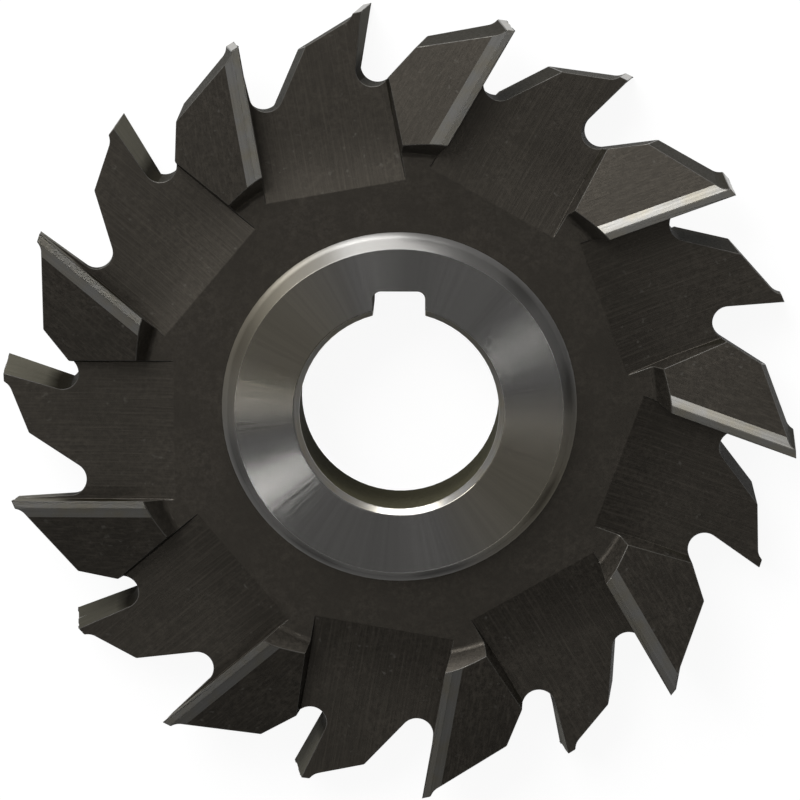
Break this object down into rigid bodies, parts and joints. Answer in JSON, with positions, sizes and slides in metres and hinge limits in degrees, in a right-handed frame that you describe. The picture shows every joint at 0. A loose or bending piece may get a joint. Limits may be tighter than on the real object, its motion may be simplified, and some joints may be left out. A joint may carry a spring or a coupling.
{
  "type": "side and face cutter",
  "caption": "Staggered tooth side and face milling cutter: a toothed steel disc with side gashes, a raised hub and a keyed arbor bore.",
  "frame": {"origin": "centre of the arbor bore at the middle of the cutter's width", "axes": "+Z along the bore axis, out of the front hub face; +Y from the axis through the middle of the keyway; the teeth point clockwise as seen from +Z"},
  "size_m": [0.1012, 0.1014, 0.0126],
  "materials": {
    "tool_steel": "black oxide, with ground bare lands, hub faces and bore"
  },
  "bodies": {
    "root": {"cutter": "tool_steel"}
  },
  "joints": []
}
